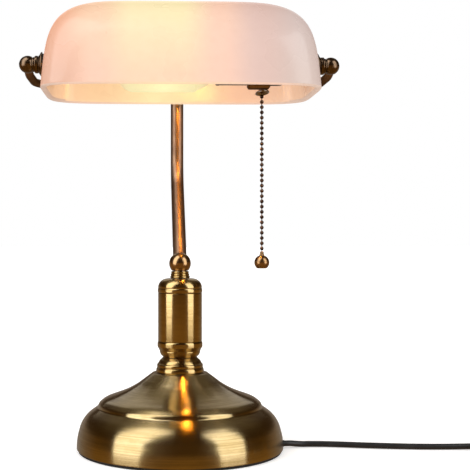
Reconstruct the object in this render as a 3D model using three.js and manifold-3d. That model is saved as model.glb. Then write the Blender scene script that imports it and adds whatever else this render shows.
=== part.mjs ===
// Banker desk lamp: a spun brass base and turned column, a bent stem that rises behind the shade,
// a U-shaped yoke, a tilting opal glass shade, a horizontal pull-chain socket with a tubular bulb,
// and a mains lead wound into a coil. Millimetres, +Z up, +X to the lamp's right, +Y to its back.
// The origin is the middle of the foot, on the surface that the lamp stands on.
import * as THREE from 'three';
import { mergeVertices } from 'three/addons/utils/BufferGeometryUtils.js';
import Module from 'manifold-3d';

const wasm = await Module();
wasm.setup();

// Driving dimensions -------------------------------------------------------------------------
const GAP = 0.3;                 // clearance between pieces that touch
const BASE_R = 85.8;             // radius of the base rim
const PAD_T = 1.9;               // thickness of the foot pad
const BASE_TOP = 64;             // height of the flat seat on top of the base
const SHEET = 1.6;               // wall of the spun base shell
const ROD_R = 5;                 // threaded rod that clamps the column together
const ROD_BORE = 3.6;
const COLUMN_R = 18.35;          // sleeve of the column
const SLEEVE_LOW = 90.3;
const SLEEVE_HIGH = 130.2;
const BALL_R = 9.1;              // ball coupling on top of the column
const BALL_Z = 154.8;
const STEM_R = 5.7;
const STEM_BORE = 4.2;
const STEM_Y = 77;               // how far the upright part of the stem stands behind the axis
const STEM_FOOT_Z = 150;
const STEM_LEAN = Math.PI / 4;   // the stem leans back at this angle between its two bends
const STEM_BEND_LOW = 14;
const STEM_BEND_HIGH = 45;
const PIVOT_Z = 320;             // height of the axis that the shade tilts about
const YOKE_Z = 313.2;            // height of the yoke, whose ends rise to the pivot axis
const YOKE_R = 3.6;
const YOKE_BORE = 2.5;
const YOKE_BEND = 30;
const YOKE_DROP = 0.66;          // angle below level at which an arm leaves its ball elbow
const HUB_R = 7.5;
const ELBOW_X = 126.4;           // ball elbows at the ends of the yoke
const ELBOW_R = 7.3;
const NIPPLE_R = 4.5;
const NIPPLE_BORE = 2.9;
const SHADE_HALF_LENGTH = 113.6;
const SHADE_HALF_DEPTH = 64;
const SHADE_LOW = 295.4;
const SHADE_HIGH = 371.7;
const GLASS = 4.5;
const SOCKET_R = 16.6;
const SOCKET_MOUTH_X = 30;
const SOCKET_SPLIT_X = 59;
const SOCKET_END_X = 88;
const CHAIN_X = 68.5;
const BEAD_R = 1.6;
const BEAD_PITCH = 4.38;
const LINK_R = 0.45;
const KNOB_R = 6.3;
const KNOB_Z = 155.5;
const BULB_R = 22.4;
const BULB_TIP_X = -52;
const CORD_R = 2.5;
const CORD_EXIT_Z = 4;
const COIL = { x: 278, y: -46, inner: 19, outer: 39, height: 15 };
const PLUG = { x: 305, y: 12.5, halfWidth: 17.6, halfThickness: 6.85, length: 36 };

// Materials ----------------------------------------------------------------------------------
const LOOKS = {
  brass: [0x9a7a3c, 0.34, 1],
  bronze: [0x6b5238, 0.38, 1],
  steel: [0x9a9c9e, 0.4, 1],
  nickel: [0xc9c7c0, 0.3, 1],
  iron: [0x3c3c3e, 0.8, 0.3],
  rubber: [0x17171a, 0.75, 0],
  fibre: [0x2b2725, 0.85, 0],
  porcelain: [0xece7dc, 0.35, 0],
  opal: [0xf6efe6, 0.25, 0],
  glass: [0xf4f1e8, 0.15, 0],
  filament: [0xffc46a, 0.5, 0],
  cord: [0x111113, 0.6, 0],
};

const lamp = new THREE.Group();

function add(name, look, geometry, position = [0, 0, 0]) {
  const [color, roughness, metalness] = LOOKS[look];
  const mesh = new THREE.Mesh(geometry, new THREE.MeshStandardMaterial({ color, roughness, metalness }));
  mesh.name = name;
  mesh.position.set(...position);
  lamp.add(mesh);
  return mesh;
}

// Geometry helpers ---------------------------------------------------------------------------

// One closed body with shared vertices, no collapsed triangles, and faces that point out.
function closed(geometry) {
  let g = geometry.index ? geometry.clone() : geometry;
  g.deleteAttribute('normal');
  g.deleteAttribute('uv');
  g = mergeVertices(g, 1e-3);
  const p = g.attributes.position;
  const index = g.index.array;
  const a = new THREE.Vector3();
  const b = new THREE.Vector3();
  const c = new THREE.Vector3();
  const kept = [];
  let volume = 0;
  for (let i = 0; i < index.length; i += 3) {
    const [i0, i1, i2] = [index[i], index[i + 1], index[i + 2]];
    if (i0 === i1 || i1 === i2 || i0 === i2) continue;
    kept.push(i0, i1, i2);
    a.fromBufferAttribute(p, i0);
    b.fromBufferAttribute(p, i1);
    c.fromBufferAttribute(p, i2);
    volume += a.dot(b.cross(c));
  }
  g.setIndex(volume < 0 ? kept.reverse() : kept);
  return g;
}

// A solid of revolution about Z. Each outline point is [radius, height].
function turned(outline, sides = 32) {
  const points = outline.map(([r, z]) => new THREE.Vector2(r, z));
  return closed(new THREE.LatheGeometry(points, sides).rotateX(Math.PI / 2));
}

// A ring of revolution about Z: the outline closes on itself and stays off the axis.
function ring(outline, sides = 32) {
  return turned([...outline, outline[0]], sides);
}

// A solid of revolution turned so that its outline's height runs along +X.
function alongX(geometry) {
  return geometry.rotateY(Math.PI / 2);
}

function mirrored(geometry) {
  return closed(geometry.clone().scale(-1, 1, 1));
}

function circle(radius, sides, hole = 0, holeSides = sides) {
  const corner = (r, n) => (_, i) => {
    const turn = (i / n) * 2 * Math.PI;
    return new THREE.Vector2(r * Math.cos(turn), r * Math.sin(turn));
  };
  const shape = new THREE.Shape(Array.from({ length: sides }, corner(radius, sides)));
  if (hole) shape.holes.push(new THREE.Path(Array.from({ length: holeSides }, corner(hole, holeSides))));
  return shape;
}

function swept(shape, path, steps) {
  return closed(new THREE.ExtrudeGeometry(shape, { steps, extrudePath: path, bevelEnabled: false }));
}

function bar(radius, from, to, sides = 16) {
  const path = new THREE.LineCurve3(new THREE.Vector3(...from), new THREE.Vector3(...to));
  return swept(circle(radius, sides), path, 1);
}

function solid(geometry) {
  const g = closed(geometry);
  const vertProperties = new Float32Array(g.attributes.position.array);
  const triVerts = new Uint32Array(g.index.array);
  return new wasm.Manifold(new wasm.Mesh({ numProp: 3, vertProperties, triVerts }));
}

function cut(geometry, ...tools) {
  let body = solid(geometry);
  for (const tool of tools) body = body.subtract(solid(tool));
  return fromSolid(body);
}

function join(...geometries) {
  let body = solid(geometries[0]);
  for (const other of geometries.slice(1)) body = body.add(solid(other));
  return fromSolid(body);
}

function fromSolid(body) {
  const mesh = body.getMesh();
  const g = new THREE.BufferGeometry();
  g.setAttribute('position', new THREE.BufferAttribute(new Float32Array(mesh.vertProperties), 3));
  g.setIndex(Array.from(mesh.triVerts));
  return closed(g);
}

// An arc as [radius, height] points, from one angle to another about a centre.
function arc([cr, cz], radius, from, to, steps) {
  return Array.from({ length: steps + 1 }, (_, i) => {
    const turn = from + ((to - from) * i) / steps;
    return [cr + radius * Math.cos(turn), cz + radius * Math.sin(turn)];
  });
}

// A smooth outline through a few [radius, height] points.
function through(points, steps) {
  const curve = new THREE.SplineCurve(points.map(([r, z]) => new THREE.Vector2(r, z)));
  return curve.getPoints(steps).map(({ x, y }) => [x, y]);
}

// An outline moved inwards by a wall thickness, for a spun or drawn shell.
function inset(outline, wall) {
  return outline.map(([r, z], i) => {
    const [r0, z0] = outline[Math.max(i - 1, 0)];
    const [r1, z1] = outline[Math.min(i + 1, outline.length - 1)];
    const length = Math.hypot(r1 - r0, z1 - z0);
    return [r - ((z1 - z0) / length) * wall, z + ((r1 - r0) / length) * wall];
  });
}

// Base ---------------------------------------------------------------------------------------

const exitBore = (radius) => bar(radius, [60, 0, CORD_EXIT_Z], [92, 0, CORD_EXIT_Z]);

// The outside of the base from its rim up: a bowl, a shoulder, a step, and a flare to the seat.
function baseOutline() {
  const bowl = through([[BASE_R, PAD_T + GAP], [85.1, 12], [82.8, 20.6], [79, 28]], 4);
  const shoulder = through([[79, 28], [75.6, 31.3], [69.6, 35]], 2).slice(1);
  const bead = [[68, 36.4], [67.7, 38], [66.3, 40.2]];
  const flare = through([[62.6, 43], [53.2, 46], [40, 52], [31, 58], [22.6, BASE_TOP]], 5);
  return [...bowl, ...shoulder, ...bead, ...flare];
}

function baseShell() {
  const outside = baseOutline();
  const hole = ROD_R + GAP;
  const inside = inset(outside, SHEET);
  inside[0][1] = PAD_T + GAP;
  inside[inside.length - 1] = [22, BASE_TOP - SHEET];
  const outline = [...outside, [hole, BASE_TOP], [hole, BASE_TOP - SHEET], ...inside.reverse()];
  return cut(ring(outline, 32), exitBore(3.4));
}

function footPad() {
  return cut(turned([[0, 0], [84.4, 0], [84.4, PAD_T], [0, PAD_T]], 32), exitBore(3.4));
}

function baseWeight() {
  const bore = ROD_R + GAP;
  const disc = [[56, 18], [58, 20], [57, 31], [54, 34]];
  const boss = [[18, 34], [14, 38], [14, 62]];
  return ring([[bore, 18], ...disc, ...boss, [bore, 62]], 20);
}

function hexNut(across, bore, height) {
  const shape = circle(across / Math.sqrt(3), 6);
  shape.holes.push(circle(bore, 16));
  return closed(new THREE.ExtrudeGeometry(shape, { depth: height, bevelEnabled: false }));
}

function washer(bore, radius, low, high, sides = 24) {
  return ring([[bore, low], [radius, low], [radius, high], [bore, high]], sides);
}

// The bushing tapers towards the inside of the base and grips the mains lead.
function cordBushing() {
  const outline = [[CORD_R + 0.1, 0], [2.75, 0], [3, 8], [3, 20], [2.75, 20.6], [CORD_R + 0.1, 20.6]];
  return alongX(ring(outline, 16));
}

function base() {
  add('foot_pad', 'rubber', footPad());
  add('base_shell', 'brass', baseShell());
  add('base_weight', 'iron', baseWeight());
  add('lock_nut', 'steel', hexNut(19, ROD_R + GAP, 6), [0, 0, 11.7]);
  add('threaded_rod', 'steel', washer(ROD_BORE, ROD_R, 9, 149.6, 20));
  add('cord_bushing', 'rubber', cordBushing(), [66.6, 0, CORD_EXIT_Z]);
}

// Column -------------------------------------------------------------------------------------

// A collar between the base and the waist: two rings under a bell.
function baseCollar() {
  const bore = ROD_R + GAP;
  const low = BASE_TOP + GAP;
  const ringed = [[19.6, low], [19.9, 66], [19.5, 68.1]];
  const second = [[18.7, 68.6], [19.2, 69.4], [19, 71.2], [18.1, 71.8]];
  const bell = [[18, 72.4], [16.9, 74.2], [15.2, 75.8], [14.1, 76.9]];
  return ring([[bore, low], ...ringed, ...second, ...bell, [bore, 76.9]], 16);
}

// The cup that carries the sleeve: a bowl, a groove, a ring, and a spigot inside the sleeve.
function lowerCup() {
  const bore = ROD_R + GAP;
  const bowl = [[13.7, 77.2], [14.6, 77.6], [16.2, 79.4], [17.1, 81.7]];
  const ringed = [[16.9, 82.4], [17.3, 83], [18.1, 84.6], [18.8, 85.6], [18.85, 88.8], [18.4, 90]];
  return ring([[bore, 77.2], ...bowl, ...ringed, [16.8, 90], [16.8, 93], [bore, 93]], 16);
}

function columnSleeve() {
  return washer(17.1, COLUMN_R, SLEEVE_LOW, SLEEVE_HIGH, 20);
}

function upperCap() {
  const bore = ROD_R + GAP;
  const low = SLEEVE_HIGH + GAP;
  const bead = [[18.3, low], [18.65, 131.2], [18.65, 133.6], [18.1, 134.3]];
  const dome = arc([10.7, 134.6], 7.7, 0.05, Math.PI / 2, 5);
  const spigot = [[bore, 127.5], [16.8, 127.5], [16.8, low]];
  return ring([...spigot, ...bead, ...dome, [bore, 142.3]], 16);
}

// Three small rings, one on another, under the ball.
function neckRings() {
  const bore = ROD_R + GAP;
  const low = 142.6;
  const pitch = 2;
  const outline = [[bore, low]];
  for (let i = 0; i < 3; i += 1) {
    const radius = 8.3 - 0.4 * i;
    const z = low + pitch * i;
    outline.push([radius - 0.4, z], [radius, z + 0.6], [radius, z + 1.3], [radius - 0.5, z + 1.9]);
  }
  outline.push([bore, low + 3 * pitch - 0.1]);
  return ring(outline, 16);
}

function stemPath(start = STEM_FOOT_Z, end = 304) {
  const lean = STEM_LEAN;
  const rise = (radius) => radius * Math.sin(lean);
  const run = (radius) => radius * (1 - Math.cos(lean));
  const at = (y, z) => new THREE.Vector3(0, y, z);
  const bend = (y, z, ty, tz, ey, ez) => new THREE.QuadraticBezierCurve3(at(y, z), at(ty, tz), at(ey, ez));
  const path = new THREE.CurvePath();
  const low = { y: run(STEM_BEND_LOW), z: STEM_FOOT_Z + rise(STEM_BEND_LOW) };
  const highY = STEM_Y - run(STEM_BEND_HIGH);
  const high = { y: highY, z: low.z + (highY - low.y) / Math.tan(lean) };
  const top = { y: STEM_Y, z: high.z + rise(STEM_BEND_HIGH) };
  const half = Math.tan(lean / 2);
  if (start < STEM_FOOT_Z) path.add(new THREE.LineCurve3(at(0, start), at(0, STEM_FOOT_Z)));
  path.add(bend(0, STEM_FOOT_Z, 0, STEM_FOOT_Z + STEM_BEND_LOW * half, low.y, low.z));
  path.add(new THREE.LineCurve3(at(low.y, low.z), at(high.y, high.z)));
  path.add(bend(high.y, high.z, STEM_Y, top.z - STEM_BEND_HIGH * half, STEM_Y, top.z));
  path.add(new THREE.LineCurve3(at(STEM_Y, top.z), at(STEM_Y, end)));
  return path;
}

function ballCoupling() {
  const low = 148.8;
  const from = -Math.asin((BALL_Z - low) / BALL_R);
  const ball = turned([[0, low], ...arc([0, BALL_Z], BALL_R, from, Math.PI / 2, 8)], 20);
  return cut(ball, swept(circle(STEM_R + 0.6, 12), stemPath(147), 40));
}

function column() {
  add('base_collar', 'brass', baseCollar());
  add('lower_cup', 'brass', lowerCup());
  add('column_sleeve', 'brass', columnSleeve());
  add('upper_cap', 'brass', upperCap());
  add('neck_rings', 'brass', neckRings());
  add('ball_coupling', 'brass', ballCoupling());
}

// Stem and yoke ------------------------------------------------------------------------------

function stemTube() {
  return swept(circle(STEM_R, 12, STEM_BORE, 6), stemPath(), 24);
}

// The tee that joins the stem to both arms of the yoke.
function stemHub() {
  const waist = [[6.7, 298.5], [HUB_R, 299.5], [HUB_R, 301], [7, 302], [7, 305.4]];
  const head = [[HUB_R, 306.4], [HUB_R, 320.6], [6.4, 322.4]];
  const outline = [[STEM_R + GAP, 298.5], ...waist, ...head, [STEM_R + GAP, 322.4]];
  const hub = ring(outline, 16);
  const crossBore = bar(YOKE_R + GAP, [-12, 0, YOKE_Z], [12, 0, YOKE_Z]);
  return cut(hub, crossBore);
}

function hubCap() {
  const spigot = [[0, 318.5], [5.4, 318.5], [5.4, 322.7], [6.8, 322.7]];
  const cone = [[7, 324], [5, 326], [3.2, 327]];
  const finial = arc([0, 330], 3.7, -0.9, Math.PI / 2, 5);
  return turned([...spigot, ...cone, ...finial], 14);
}

// One arm of the yoke: along the back, round a bend, forward, and up to the ball elbow, where it
// ends at a distance from the pivot axis.
function yokePath(startX, fromAxis, side) {
  const at = (x, y, z = YOKE_Z) => new THREE.Vector3(side * x, y, z);
  const bendX = ELBOW_X - YOKE_BEND;
  const bendY = STEM_Y - YOKE_BEND;
  const riseY = 20;
  const cornerY = (PIVOT_Z - YOKE_Z) / Math.tan(YOKE_DROP);
  const end = at(ELBOW_X, fromAxis * Math.cos(YOKE_DROP), PIVOT_Z - fromAxis * Math.sin(YOKE_DROP));
  const path = new THREE.CurvePath();
  path.add(new THREE.LineCurve3(at(startX, STEM_Y), at(bendX, STEM_Y)));
  const round = 0.5523 * YOKE_BEND;
  path.add(new THREE.CubicBezierCurve3(
    at(bendX, STEM_Y), at(bendX + round, STEM_Y), at(ELBOW_X, bendY + round), at(ELBOW_X, bendY)));
  path.add(new THREE.LineCurve3(at(ELBOW_X, bendY), at(ELBOW_X, riseY)));
  path.add(new THREE.QuadraticBezierCurve3(at(ELBOW_X, riseY), at(ELBOW_X, cornerY), end));
  return path;
}

function yokeArm(side) {
  return swept(circle(YOKE_R, 8, YOKE_BORE, 6), yokePath(6.2, 5.2, side), 26);
}

function ballElbow() {
  const faceX = 122.7;
  const open = Math.acos((faceX - ELBOW_X) / ELBOW_R);
  const steps = 6;
  const skin = Array.from({ length: steps }, (_, i) => {
    const turn = open * (1 - i / steps);
    return [ELBOW_R * Math.sin(turn), ELBOW_X + ELBOW_R * Math.cos(turn)];
  });
  skin.push([0, ELBOW_X + ELBOW_R]);
  const bore = NIPPLE_R + GAP;
  const ball = alongX(turned([[0, 128.3], [bore, 128.3], [bore, faceX], ...skin], 16));
  const away = (d) => [ELBOW_X, d * Math.cos(YOKE_DROP), PIVOT_Z - d * Math.sin(YOKE_DROP)];
  return cut(ball.translate(0, 0, PIVOT_Z), bar(YOKE_R + 2 * GAP, away(1), away(12)));
}

// The ribbed thumb nut that clamps the shade against its washers.
function clampNut() {
  const bore = NIPPLE_R + GAP;
  const rib = [[6.8, 117.6], [7.3, 118.1], [7.3, 120.2], [6.7, 120.7]];
  const second = [[5.9, 120.9], [6.2, 121.2], [6.2, 121.9], [5.8, 122.3]];
  return alongX(ring([[bore, 117.6], ...rib, ...second, [bore, 122.3]], 16));
}

function flangeWasher() {
  const bore = NIPPLE_R + GAP;
  const cone = [[10.1, 114.2], [10.5, 114.6], [10.3, 115.3], [9, 116], [7.4, 117.3]];
  return alongX(ring([[bore, 114.2], ...cone, [bore, 117.3]], 16));
}

function fibreWasher(low, high) {
  return alongX(washer(NIPPLE_R + GAP, 9, low, high, 12));
}

function innerNut() {
  return alongX(hexNut(15, NIPPLE_R + GAP, 3)).translate(100.6, 0, 0);
}

function pivotNipple(innerX) {
  return alongX(washer(NIPPLE_BORE, NIPPLE_R, innerX, 127.9, 16));
}

function yoke() {
  add('stem_tube', 'bronze', stemTube());
  add('stem_hub', 'bronze', stemHub(), [0, STEM_Y, 0]);
  add('hub_cap', 'brass', hubCap(), [0, STEM_Y, 0]);
  const axis = [0, 0, PIVOT_Z];
  for (const [label, side] of [['right', 1], ['left', -1]]) {
    const facing = (geometry) => (side > 0 ? geometry : mirrored(geometry));
    add(`yoke_arm_${label}`, 'bronze', yokeArm(side));
    add(`ball_elbow_${label}`, 'bronze', facing(ballElbow()));
    add(`clamp_nut_${label}`, 'bronze', facing(clampNut()), axis);
    add(`flange_washer_${label}`, 'bronze', facing(flangeWasher()), axis);
    add(`outer_fibre_washer_${label}`, 'fibre', facing(fibreWasher(112.4, 113.9)), axis);
    add(`inner_fibre_washer_${label}`, 'fibre', facing(fibreWasher(103.9, 104.8)), axis);
    add(`inner_nut_${label}`, 'brass', facing(innerNut()), axis);
    add(`pivot_nipple_${label}`, 'steel', facing(pivotNipple(side > 0 ? 83.5 : 99)), axis);
  }
}

// Shade --------------------------------------------------------------------------------------

// Half length and half depth of the shade at a height, as a share of the way from rim to crown.
function shadeSection(share, wall) {
  const taper = 1 - 0.065 * share;
  const [endRound, sideRound] = [4.6, 2.2];
  const length = (SHADE_HALF_LENGTH - wall) * taper * (1 - share ** endRound) ** (1 / endRound);
  const depth = (SHADE_HALF_DEPTH - wall) * (1 - share ** sideRound) ** (1 / sideRound);
  return [length, depth];
}

// Superellipse rings from the rim to the crown; the top ring closes in a single point.
function shadeSkin(wall, rows, sides) {
  const crown = SHADE_HIGH - wall;
  const squareness = 5.5;
  const points = [];
  for (let row = 0; row < rows; row += 1) {
    const share = Math.sin((row / rows) * (Math.PI / 2)) ** 0.9;
    const [length, depth] = shadeSection(share, wall);
    for (let i = 0; i < sides; i += 1) {
      const turn = (i / sides) * 2 * Math.PI;
      const [c, s] = [Math.cos(turn), Math.sin(turn)];
      const x = length * Math.sign(c) * Math.abs(c) ** (2 / squareness);
      const y = depth * Math.sign(s) * Math.abs(s) ** (2 / squareness);
      points.push([x, y, SHADE_LOW + share * (crown - SHADE_LOW)]);
    }
  }
  points.push([0, 0, crown]);
  return points;
}

function shade() {
  const rows = 8;
  const sides = 36;
  const outer = shadeSkin(0, rows, sides);
  const inner = shadeSkin(GLASS, rows, sides);
  const index = [];
  const skin = (start, flip) => {
    const face = (a, b, c) => index.push(start + a, start + (flip ? c : b), start + (flip ? b : c));
    for (let row = 0; row < rows; row += 1) {
      for (let i = 0; i < sides; i += 1) {
        const j = (i + 1) % sides;
        const [low, high] = [row * sides, (row + 1) * sides];
        if (row === rows - 1) {
          face(low + i, low + j, high);
        } else {
          face(low + i, low + j, high + j);
          face(low + i, high + j, high + i);
        }
      }
    }
  };
  skin(0, false);
  skin(outer.length, true);
  for (let i = 0; i < sides; i += 1) {
    const j = (i + 1) % sides;
    const [a, b] = [outer.length + i, outer.length + j];
    index.push(i, a, j, a, b, j);
  }
  const g = new THREE.BufferGeometry();
  g.setAttribute('position', new THREE.Float32BufferAttribute([...outer, ...inner].flat(), 3));
  g.setIndex(index);
  const hole = (side) => bar(5.3, [side * 95, 0, PIVOT_Z], [side * 120, 0, PIVOT_Z], 16);
  return cut(g, hole(1), hole(-1));
}

// Socket, switch and bulb --------------------------------------------------------------------

function socketShell() {
  const out = SOCKET_R - 0.3;
  const mouth = [[out, 58.7], [out, 33], [SOCKET_R, 32.4], [SOCKET_R, 30.6], [out, SOCKET_MOUTH_X]];
  return alongX(ring([...mouth, [15.5, SOCKET_MOUTH_X], [15.5, 58.7]], 20));
}

function socketCap() {
  const bore = NIPPLE_R + GAP;
  const dome = [[16.2, 84.8], [14.8, 86.6], [12.4, 87.6], [9, SOCKET_END_X], [bore, SOCKET_END_X]];
  const under = [[bore, 87], [9, 87], [12, 86.6], [14.1, 85.8], [15.4, 84.2], [15.8, 81.5]];
  const skin = [[15.8, SOCKET_SPLIT_X], [SOCKET_R, SOCKET_SPLIT_X], [SOCKET_R, 82], ...dome];
  const cap = alongX(ring([...skin, ...under], 20));
  return cut(cap, bar(2.2, [CHAIN_X, 0, -20], [CHAIN_X, 0, -10], 12));
}

function socketLiner() {
  return alongX(washer(14.4, 15.1, 31, 58.4, 20));
}

function screwShell() {
  const outside = [];
  const inside = [];
  for (let i = 0; i <= 4; i += 1) {
    const x = 33 + 3.6 * i;
    const r = i % 2 ? 13.9 : 13.6;
    outside.push([r, x]);
    inside.unshift([r - 0.4, x]);
  }
  return alongX(ring([...outside, ...inside], 16));
}

function socketInsulator() {
  return alongX(washer(2.2, 13.8, 51, 63, 16));
}

function centreContact() {
  const rivet = [[1.8, 49], [1.8, 64], [0, 64]];
  return alongX(turned([[0, 47.4], [3.6, 47.6], [4.2, 48.3], [4.2, 49], ...rivet], 16));
}

// A ratchet wheel that turns by one notch for each pull of the chain.
function switchCam() {
  const teeth = 8;
  const points = [];
  for (let i = 0; i < teeth; i += 1) {
    const turn = (i / teeth) * 2 * Math.PI;
    const next = turn + (1.7 * Math.PI) / teeth;
    points.push(new THREE.Vector2(9 * Math.cos(turn), 9 * Math.sin(turn)));
    points.push(new THREE.Vector2(7.2 * Math.cos(next), 7.2 * Math.sin(next)));
  }
  const shape = new THREE.Shape(points);
  shape.holes.push(circle(1.8, 12));
  return alongX(closed(new THREE.ExtrudeGeometry(shape, { depth: 3, bevelEnabled: false })));
}

function switchSpindle() {
  const head = [[0, 72.2], [2.8, 72.2], [2.8, 73.2], [1.5, 73.2]];
  return alongX(turned([...head, [1.5, 78.6], [0, 78.6]], 12));
}

function switchHousing() {
  const block = new THREE.Shape();
  const [halfX, halfY, round] = [9.8, 6, 2.4];
  block.moveTo(-halfX + round, -halfY);
  block.lineTo(halfX - round, -halfY);
  block.quadraticCurveTo(halfX, -halfY, halfX, -halfY + round);
  block.lineTo(halfX, halfY - round);
  block.quadraticCurveTo(halfX, halfY, halfX - round, halfY);
  block.lineTo(-halfX + round, halfY);
  block.quadraticCurveTo(-halfX, halfY, -halfX, halfY - round);
  block.lineTo(-halfX, -halfY + round);
  block.quadraticCurveTo(-halfX, -halfY, -halfX + round, -halfY);
  const body = new THREE.ExtrudeGeometry(block, { depth: 2.4, bevelEnabled: false, curveSegments: 4 });
  // The sides lean in towards the bottom face.
  const corners = body.attributes.position;
  for (let i = 0; i < corners.count; i += 1) {
    const share = corners.getZ(i) < 0.1 ? 0.86 : 1;
    corners.setXYZ(i, corners.getX(i) * share, corners.getY(i) * share, corners.getZ(i));
  }
  return cut(body, bar(2.3, [2.7, 0, -3], [2.7, 0, 6], 12));
}

// The flared guide that the chain runs through, tipped a little forwards and sideways.
function chainBell() {
  const outside = [[3, 0], [3, -0.4], [4.6, -0.9], [5.7, -1.7], [6, -2.5]];
  const inside = [[5.6, -3], [4.9, -2.7], [3.4, -1.4], [2.3, -0.9], [2.3, 0]];
  return ring([...outside, ...inside], 14).rotateX(-0.2).rotateY(-0.14);
}

// Beads and links as one body of revolution, from the top bead down.
function beadChain(beads, topZ) {
  const outline = [];
  for (let i = 0; i < beads; i += 1) {
    const z = topZ - BEAD_PITCH * i;
    outline.push([LINK_R, z + 1.53], [BEAD_R, z + 0.6], [BEAD_R, z - 0.6], [LINK_R, z - 1.53]);
  }
  const top = topZ + 1.53 + 0.7;
  const bottom = outline.at(-1)[1] - 0.35;
  return [[0, top], [LINK_R, top], ...outline, [LINK_R, bottom], [0, bottom]];
}

const CHAIN_TOP_Z = 298.6;
const CHAIN_BEADS = [2, 14, 15];

// The rod and head inside the switch that the chain pulls on.
function pullRod() {
  const head = [[0, 318.6], [3, 318.6], [3, 317.6], [0.9, 317.4]];
  return turned([...head, [0.9, 303], [0.5, 302.4], [0.5, 301.6], [0, 301.6]], 10);
}

function returnSpring() {
  class Helix extends THREE.Curve {
    getPoint(t, target = new THREE.Vector3()) {
      const turn = t * 5 * 2 * Math.PI;
      return target.set(2.4 * Math.cos(turn), 2.4 * Math.sin(turn), 305.3 + 11.6 * t);
    }
  }
  return swept(circle(0.32, 4), new Helix(), 40);
}

function chainKnob() {
  const top = KNOB_Z + 5.9;
  const neck = [[0, top + 3.6], [0.9, top + 3.6], [1.5, top + 3], [1.7, top + 1.6], [2.2, top - 0.3]];
  const ball = arc([0, KNOB_Z], KNOB_R, 1.1, -0.9, 7);
  return turned([...neck, ...ball, [0, ball.at(-1)[1]]], 12);
}

function chain() {
  add('pull_rod', 'steel', pullRod(), [CHAIN_X, 0, 0]);
  let z = CHAIN_TOP_Z;
  CHAIN_BEADS.forEach((beads, i) => {
    add(`chain_${i + 1}`, 'bronze', turned(beadChain(beads, z), 6), [CHAIN_X, 0, 0]);
    z -= BEAD_PITCH * beads;
  });
  add('chain_knob', 'brass', chainKnob(), [CHAIN_X, 0, 0]);
}

function socket() {
  const axis = [0, 0, PIVOT_Z];
  add('socket_shell', 'bronze', socketShell(), axis);
  add('socket_cap', 'bronze', socketCap(), axis);
  add('socket_liner', 'fibre', socketLiner(), axis);
  add('screw_shell', 'brass', screwShell(), axis);
  add('socket_insulator', 'porcelain', socketInsulator(), axis);
  add('centre_contact', 'brass', centreContact(), axis);
  add('switch_cam', 'fibre', switchCam(), [74, 0, PIVOT_Z]);
  add('switch_spindle', 'steel', switchSpindle(), axis);
  add('return_spring', 'steel', returnSpring(), [CHAIN_X, 0, 0]);
  add('switch_housing', 'bronze', switchHousing(), [CHAIN_X - 2.7, 0, 300.7]);
  add('chain_bell', 'brass', chainBell(), [CHAIN_X, 0, 299.6]);
}

// The glass is a shell, open at its neck where the cap covers it.
function bulbGlass() {
  const r = BULB_R;
  const tip = arc([r - 14, BULB_TIP_X + 14], 14, -Math.PI / 2, 0, 3);
  const neck = [[r, 8], [r - 1.6, 14], [17.6, 21], [14, 26.4], [12.6, 29.2]];
  const inNeck = [[11.6, 29.2], [13.2, 25.8], [16.9, 20], [r - 2.6, 13.4], [r - 1, 7.6]];
  const inTip = arc([r - 14, BULB_TIP_X + 14], 13, 0, -Math.PI / 2, 3);
  return alongX(turned([[0, BULB_TIP_X], ...tip, ...neck, ...inNeck, ...inTip, [0, BULB_TIP_X + 1]], 16));
}

function bulbCap() {
  const thread = [];
  for (let i = 0; i <= 6; i += 1) thread.push([i % 2 ? 13 : 12.3, 30.6 + 2 * i]);
  return alongX(turned([[0, 29.6], [12.6, 29.6], ...thread, [8, 44.6], [0, 44.6]], 18));
}

function bulbContact() {
  return alongX(turned([[0, 44.9], [4.6, 44.9], [4, 46.6], [0, 47]], 14));
}

function filament() {
  const stem = alongX(turned([[0, 8], [1.4, 8], [2.4, 29.2], [0, 29.2]], 10));
  const rods = [[0, 7], [0, -7], [7, 0], [-7, 0]].map(([y, z]) => bar(0.9, [-34, y, z], [6, y, z], 5));
  const crosses = [-33, 5].flatMap((x) => [
    bar(0.7, [x, -7.4, 0], [x, 7.4, 0], 5),
    bar(0.7, [x, 0, -7.4], [x, 0, 7.4], 5),
  ]);
  const spine = bar(0.8, [-33.4, 0, 0], [9, 0, 0], 6);
  return join(stem, ...rods, ...crosses, spine);
}

function bulb() {
  const axis = [0, 0, PIVOT_Z];
  add('bulb_glass', 'glass', bulbGlass(), axis);
  add('bulb_cap', 'nickel', bulbCap(), axis);
  add('bulb_contact', 'nickel', bulbContact(), axis);
  add('filament', 'filament', filament(), axis);
}

// Leads, coil and plug -----------------------------------------------------------------------

// The lead inside the lamp: across the base, up the rod and stem, and along the right arm.
function innerLead() {
  const radius = 1.2;
  const at = (x, y, z) => new THREE.Vector3(x, y, z);
  const path = new THREE.CurvePath();
  path.add(new THREE.LineCurve3(at(66.2, 0, CORD_EXIT_Z), at(8, 0, CORD_EXIT_Z)));
  path.add(new THREE.QuadraticBezierCurve3(at(8, 0, CORD_EXIT_Z), at(0, 0, CORD_EXIT_Z), at(0, 0, 12)));
  for (const part of stemPath(12, 305).curves) path.add(part);
  const tee = [at(0, STEM_Y, 305), at(0, STEM_Y, YOKE_Z), at(8, STEM_Y, YOKE_Z)];
  path.add(new THREE.QuadraticBezierCurve3(...tee));
  for (const part of yokePath(8, 7, 1).curves) path.add(part);
  return swept(circle(radius, 6), path, 60);
}

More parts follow.
